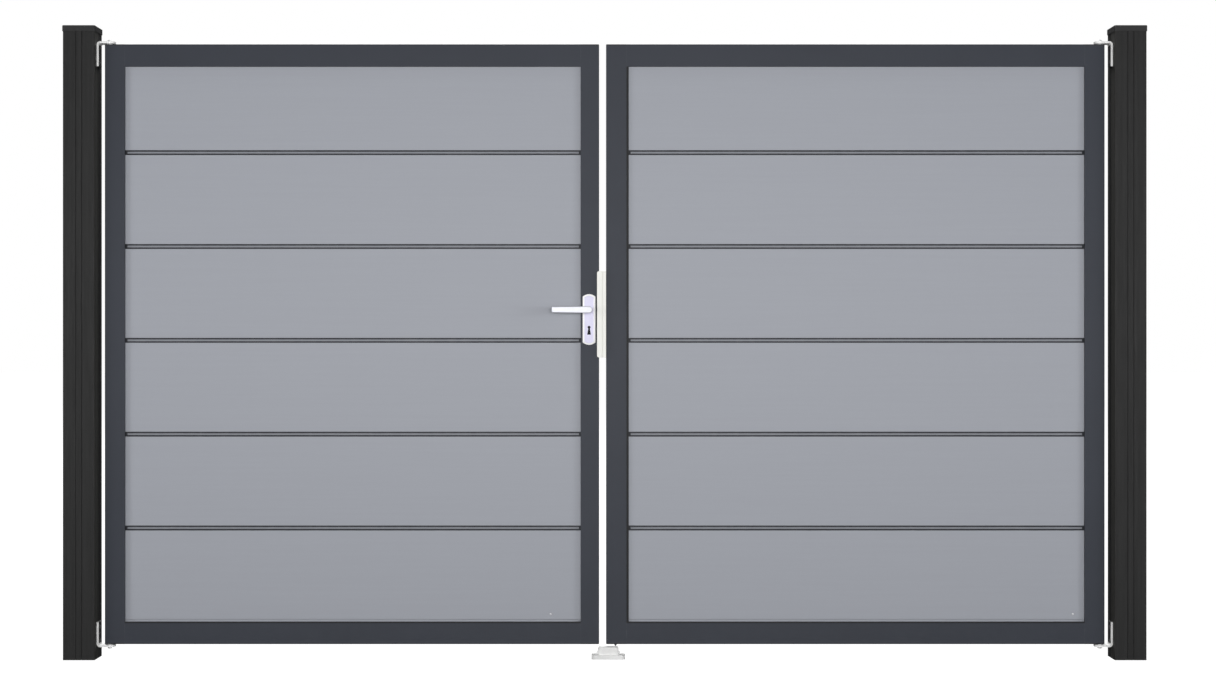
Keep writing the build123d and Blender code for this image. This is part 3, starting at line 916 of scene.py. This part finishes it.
@dataclass(frozen=True)
class FastenerRow:
    """Equal fasteners on one piece, joined into one mesh."""

    name: str
    kind: Fastener
    seats: tuple[Point, ...]
    outward: Point
    body: str
    finish: Finish
    slot: str
    first_turn: float = 0.35
    turn_step: float = 0.7
    sharp_angle: float = math.radians(32)

    def build(self, workshop: Workshop) -> bpy.types.Object:
        """Make the mesh, give it its finish and let it ride on its body.

        Args:
            workshop: where the finish comes from.

        Returns:
            The new piece.
        """
        points, faces, count = [], [], 0
        for number, seat in enumerate(self.seats):
            turn = self.turn_step * number + self.first_turn
            part, part_faces = self.kind.surface(seat, self.outward, turn)
            points.append(part)
            faces.extend([[corner + count for corner in face] for face in part_faces])
            count += len(part)
        mesh = bpy.data.meshes.new(self.name)
        mesh.from_pydata(np.vstack(points).tolist(), [], faces)
        mesh.polygons.foreach_set("use_smooth", np.ones(len(mesh.polygons), bool))
        mesh.set_sharp_from_angle(angle=self.sharp_angle)
        mesh.materials.append(workshop.material(self.finish))
        piece = bpy.data.objects.new(self.name, mesh)
        bpy.context.scene.collection.objects.link(piece)
        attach(piece, self.body)
        log.info("%s: %d heads on %s", self.name, len(self.seats), self.body)
        return piece


@dataclass
class SubAssembly:
    """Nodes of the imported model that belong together, and the small pieces added to them."""

    nodes: tuple[str, ...]

    def dress(self, workshop: Workshop) -> None:
        """Give each node its finish."""
        for node in self.nodes:
            workshop.dress(node)

    def fasteners(self) -> list[FastenerRow]:
        """List the small pieces, none unless the sub-assembly has some."""
        return []

    def build(self, workshop: Workshop) -> None:
        """Dress the nodes and add the small pieces.

        Args:
            workshop: where the finishes come from.
        """
        self.dress(workshop)
        for row in self.fasteners():
            row.build(workshop)


@dataclass
class Posts(SubAssembly):
    """Two square composite posts with slip-over caps."""

    nodes: tuple[str, ...] = ("left_post", "right_post", "left_post_cap", "right_post_cap")


@dataclass
class Hinges(SubAssembly):
    """Four bent brackets on the posts, with their pivot pins and countersunk screws."""

    nodes: tuple[str, ...] = (
        "left_top_bracket", "left_bottom_bracket", "right_top_bracket", "right_bottom_bracket",
        "left_hinge_pins", "right_hinge_pins",
    )
    bar: float = 6.0 * MM
    screw_inset: float = 16.0 * MM
    screw_spacing: float = 42.0 * MM
    screw_sink: float = 0.2 * MM
    screw: Fastener = Fastener(
        radius=6.0 * MM, rise=0.15 * MM, sink=3.3 * MM, shank=3.0 * MM,
        recess=2.6 * MM, recess_depth=1.7 * MM, drive=Drive.SIX_LOBE,
    )

    def fasteners(self) -> list[FastenerRow]:
        """Give the two screws in each bracket's leg.

        Returns:
            One row for each bracket.
        """
        rows = []
        for side, outward in (("left", 1.0), ("right", -1.0)):
            for level, up in (("top", 1.0), ("bottom", -1.0)):
                low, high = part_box(f"{side}_{level}_bracket")
                face = low.x + self.bar if side == "left" else high.x - self.bar
                end = low.z if level == "top" else high.z
                middle = (low.y + high.y) / 2
                places = end + up * (self.screw_inset + self.screw_spacing * np.arange(2))
                seats = tuple((face - outward * self.screw_sink, middle, float(z)) for z in places)
                name = f"{side}_{level}_bracket_screws"
                rows.append(
                    FastenerRow(name, self.screw, seats, (outward, 0, 0), "posts", SCREW_STEEL, "hinge_steel")
                )
        return rows


@dataclass
class Leaf(SubAssembly):
    """A leaf's frame and boards, with the rivet at the foot of its lowest board."""

    side: str
    rivet_inset: float
    rivet_height: float = 22.0 * MM
    rivet: Fastener = Fastener(
        radius=3.4 * MM, rise=1.3 * MM, sink=0.4 * MM, shank=1.8 * MM,
        recess=0.9 * MM, recess_depth=0.5 * MM, drive=Drive.ROUND, segments=32,
    )
    board_face: float = -10.0 * MM

    def fasteners(self) -> list[FastenerRow]:
        """Give the rivet, seated on the front of the lowest board.

        Returns:
            One row.
        """
        _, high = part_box(f"{self.side}_bottom_rail")
        seat = (high.x - self.rivet_inset, self.board_face, high.z + self.rivet_height)
        name, body = f"{self.side}_board_rivet", f"{self.side}_leaf"
        return [FastenerRow(name, self.rivet, (seat,), (0, -1, 0), body, RIVET_ALUMINIUM, "handle_silver")]


@dataclass
class LockSet(SubAssembly):
    """Lock case, shields, levers and keep, with their screws."""

    nodes: tuple[str, ...] = (
        "lock_case", "front_lock_plate", "rear_lock_plate", "front_lever", "rear_lever", "lever_spindle",
        "lock_keep",
    )
    shield_inset: float = 13.0 * MM
    forend_inset: float = 9.0 * MM
    keep_inset: float = 11.0 * MM
    keep_thickness: float = 5.0 * MM
    keep_middle: float = 95.0 * MM
    neck_radius: float = 9.0 * MM
    neck_middle: float = 40.0 * MM
    hub_inset: float = 10.0 * MM
    grub_sink: float = 0.15 * MM
    screw: Fastener = Fastener(
        radius=3.6 * MM, rise=0.7 * MM, sink=0.5 * MM, shank=1.9 * MM,
        recess=1.7 * MM, recess_depth=1.0 * MM, drive=Drive.SIX_LOBE,
    )
    grub: Fastener = Fastener(
        radius=2.6 * MM, rise=0.1 * MM, sink=0.6 * MM, shank=2.4 * MM,
        recess=1.3 * MM, recess_depth=1.2 * MM, drive=Drive.HEXAGON, segments=36,
    )

    def fasteners(self) -> list[FastenerRow]:
        """Give the screws of the rear shield, forend and keep, and the levers' grub screws.

        Returns:
            One row for each of them.
        """
        low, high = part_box("rear_lock_plate")
        middle = (low.x + high.x) / 2
        shield = tuple((middle, high.y, z) for z in (low.z + self.shield_inset, high.z - self.shield_inset))
        low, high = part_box("lock_case")
        forend = tuple((high.x, 0.0, z) for z in (low.z + self.forend_inset, high.z - self.forend_inset))
        low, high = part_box("lock_keep")
        heights = (low.z + self.keep_inset, low.z + self.keep_middle, high.z - 2 * self.keep_inset)
        keep = tuple((high.x - self.keep_thickness, 0.0, z) for z in heights)
        low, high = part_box("front_lever")
        neck_bottom = (low.z + high.z) / 2 - self.neck_radius + self.grub_sink
        sides = (-self.neck_middle, self.neck_middle)
        grubs = tuple((high.x - self.hub_inset, y, neck_bottom) for y in sides)
        rows = (
            ("shield_screws", self.screw, shield, (0, 1, 0), "left_leaf"),
            ("forend_screws", self.screw, forend, (1, 0, 0), "left_leaf"),
            ("keep_screws", self.screw, keep, (-1, 0, 0), "right_leaf"),
            ("lever_grub_screws", self.grub, grubs, (0, 0, -1), "lever"),
        )
        return [FastenerRow(*row, SCREW_STEEL, "lock_steel") for row in rows]


@dataclass
class DropBolt(SubAssembly):
    """Drop bolt on the back of the right leaf, with the four screws of its plate."""

    nodes: tuple[str, ...] = ("drop_bolt_plate", "drop_bolt_rod")
    plate_thickness: float = 3.0 * MM
    screw_side: float = 6.0 * MM
    screw_end: float = 50.0 * MM
    screw: Fastener = Fastener(
        radius=3.8 * MM, rise=1.6 * MM, sink=0.5 * MM, shank=1.9 * MM,
        recess=1.8 * MM, recess_depth=1.3 * MM, drive=Drive.SIX_LOBE,
    )

    def fasteners(self) -> list[FastenerRow]:
        """Give the plate's screws, inside its guides on both sides of the rod.

        Returns:
            One row.
        """
        low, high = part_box("drop_bolt_plate")
        seats = tuple(
            (x, low.y + self.plate_thickness, z)
            for x in (low.x + self.screw_side, high.x - self.screw_side)
            for z in (low.z + self.screw_end, high.z - self.screw_end)
        )
        name, body = "bolt_plate_screws", "right_leaf"
        return [FastenerRow(name, self.screw, seats, (0, 1, 0), body, SCREW_STEEL, "bolt_steel")]


@dataclass
class GroundStop(SubAssembly):
    """Ground stop between the leaves, with its two anchor screws."""

    nodes: tuple[str, ...] = ("ground_stop",)
    base_height: float = 13.0 * MM
    anchor_from_back: float = 18.0 * MM
    anchor_spacing: float = 36.0 * MM
    anchor_sink: float = 0.2 * MM
    anchor: Fastener = Fastener(
        radius=7.2 * MM, rise=0.15 * MM, sink=3.8 * MM, shank=3.8 * MM,
        recess=3.2 * MM, recess_depth=2.2 * MM, drive=Drive.HEXAGON,
    )

    def fasteners(self) -> list[FastenerRow]:
        """Give the anchors, sunk in the back of the base.

        Returns:
            One row.
        """
        low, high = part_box("ground_stop")
        middle = (low.x + high.x) / 2
        y, z = high.y - self.anchor_from_back, self.base_height - self.anchor_sink
        seats = tuple((middle + side * self.anchor_spacing / 2, y, z) for side in (-1, 1))
        name, body = "stop_anchors", "posts"
        return [FastenerRow(name, self.anchor, seats, (0, 0, 1), body, SCREW_STEEL, "stop_silver")]


@dataclass
class Softbox:
    """A soft rectangular light aimed at a point."""

    name: str
    place: Point
    target: Point
    width: float
    height: float
    power: float

    def build(self) -> None:
        """Add the light to the scene."""
        lamp = bpy.data.lights.new(self.name, "AREA")
        lamp.shape = "RECTANGLE"
        lamp.size, lamp.size_y = self.width, self.height
        lamp.energy = self.power
        light = bpy.data.objects.new(self.name, lamp)
        light.location = self.place
        aim = Vector(self.target) - Vector(self.place)
        light.rotation_euler = aim.to_track_quat("-Z", "Y").to_euler()
        light.visible_camera = False
        bpy.context.scene.collection.objects.link(light)


@dataclass
class Studio:
    """Pale floor, even surroundings, soft lights and the photograph's camera."""

    middle: float
    lights: tuple[Softbox, ...]
    eye_height: float = 0.9506
    eye_distance: float = 6.52
    lens: float = 64.15
    sensor: float = 36.0
    floor_reach: float = 60.0
    floor_drop: float = 0.4 * MM
    floor_shade: float = 0.15
    ambient: float = 0.05
    clip_end: float = 200.0

    def build(self) -> None:
        """Add everything that isn't part of the gate."""
        self._surroundings()
        self._floor()
        for light in self.lights:
            light.build()
        self._camera()
        bpy.context.scene.view_settings.view_transform = "Standard"

    def _surroundings(self) -> None:
        """White surroundings for the eye that light the gate only weakly."""
        world = bpy.data.worlds.new("white_surroundings")
        world.use_nodes = True
        bench = Bench(world.node_tree)
        seen = bench.add("LightPath").outputs["Is Camera Ray"]
        strength = bench.span(seen, 0.0, 1.0, self.ambient, 1.0)
        sky = bench.add("Background", {"Color": (1.0, 1.0, 1.0, 1.0), "Strength": strength})
        bench.add("OutputWorld", {"Surface": sky.outputs[0]})
        bpy.context.scene.world = world

    def _floor(self) -> None:
        """Flat pale floor: every point of a grid over the reach, at one height."""
        count = 3
        side = np.linspace(-self.floor_reach, self.floor_reach, count)
        x, y = np.meshgrid(self.middle + side, side)
        points = np.stack((x, y, np.full_like(x, -self.floor_drop)), axis=-1).reshape(-1, 3)
        order = np.arange(count * count).reshape(count, count)
        corners = (order[:-1, :-1], order[:-1, 1:], order[1:, 1:], order[1:, :-1])
        faces = np.stack(corners, axis=-1).reshape(-1, 4)
        mesh = bpy.data.meshes.new("studio_floor")
        mesh.from_pydata(points.tolist(), [], faces.tolist())
        material = bpy.data.materials.new("pale_floor")
        material.use_nodes = True
        bench = Bench(material.node_tree)
        seen = bench.add("LightPath").outputs["Is Camera Ray"]
        matt = bench.add("BsdfDiffuse", {"Color": (*[self.floor_shade] * 3, 1.0)})
        glow = bench.add("Emission", {"Color": (1.0, 1.0, 1.0, 1.0), "Strength": seen})
        both = bench.add("AddShader", {0: matt.outputs[0], 1: glow.outputs[0]})
        bench.add("OutputMaterial", {"Surface": both.outputs[0]})
        mesh.materials.append(material)
        floor = bpy.data.objects.new("studio_floor", mesh)
        bpy.context.scene.collection.objects.link(floor)

    def _camera(self) -> None:
        """Level camera in front of the gate, at the photograph's height and distance."""
        data = bpy.data.cameras.new("photo_camera")
        data.lens, data.sensor_width = self.lens, self.sensor
        data.clip_end = self.clip_end
        camera = bpy.data.objects.new("photo_camera", data)
        camera.location = (self.middle, -self.eye_distance, self.eye_height)
        camera.rotation_euler = (math.pi / 2, 0, 0)
        bpy.context.scene.collection.objects.link(camera)
        bpy.context.scene.camera = camera


def leaf_nodes(side: str, stiles: Sequence[str], boards: int = 6) -> tuple[str, ...]:
    """Name the nodes of a leaf.

    Args:
        side: left or right.
        stiles: names of the nodes at its closing edge.
        boards: number of boards.

    Returns:
        Names of its nodes.
    """
    parts = ("hinge_stile", "top_rail", "bottom_rail", "pivot_blocks")
    numbered = tuple(f"{side}_board_{number}" for number in range(1, boards + 1))
    return tuple(f"{side}_{part}" for part in parts) + tuple(stiles) + numbered


def studio_lights() -> tuple[Softbox, ...]:
    """List the lights: pairs in front and beside, strips in front and overhead, and one high behind.

    Returns:
        The lights, in the order in which they are built.
    """
    middle, sides = GATE_MIDDLE, (("left", -1), ("right", 1))
    aim, foot = (middle, 0.0, 1.05), (middle, 0.0, 0.0)
    front, beside = "_softbox", "_side_softbox"
    return (
        *(
            Softbox(side + front, (middle + sign * 1.1, -8.5, 1.25), aim, width=1.6, height=2.0, power=138.0)
            for side, sign in sides
        ),
        *(
            Softbox(side + beside, (middle + sign * 9.0, -4.5, 1.6), aim, width=2.5, height=3.0, power=220.0)
            for side, sign in sides
        ),
        Softbox("front_strip", (middle, -2.5, 1.15), aim, width=9.0, height=0.5, power=42.0),
        Softbox("overhead_strip", (middle, -1.5, 6.0), foot, width=4.5, height=1.2, power=30.0),
        Softbox("back_softbox", (middle, 14.0, 14.0), aim, width=11.0, height=9.0, power=3400.0),
    )


def main() -> None:
    """Build every sub-assembly and the studio."""
    logging.basicConfig(level=logging.INFO, format="%(name)s %(message)s")
    workshop = Workshop()
    assemblies = (
        Posts(),
        Hinges(),
        Leaf(leaf_nodes("left", ("lock_stile", "lock_stile_caps")), "left", LEFT_RIVET_INSET),
        Leaf(leaf_nodes("right", ("meeting_stile", "meeting_stile_caps")), "right", RIGHT_RIVET_INSET),
        LockSet(),
        DropBolt(),
        GroundStop(),
    )
    for assembly in assemblies:
        assembly.build(workshop)
    Studio(GATE_MIDDLE, studio_lights()).build()


if __name__ == "__main__":
    main()
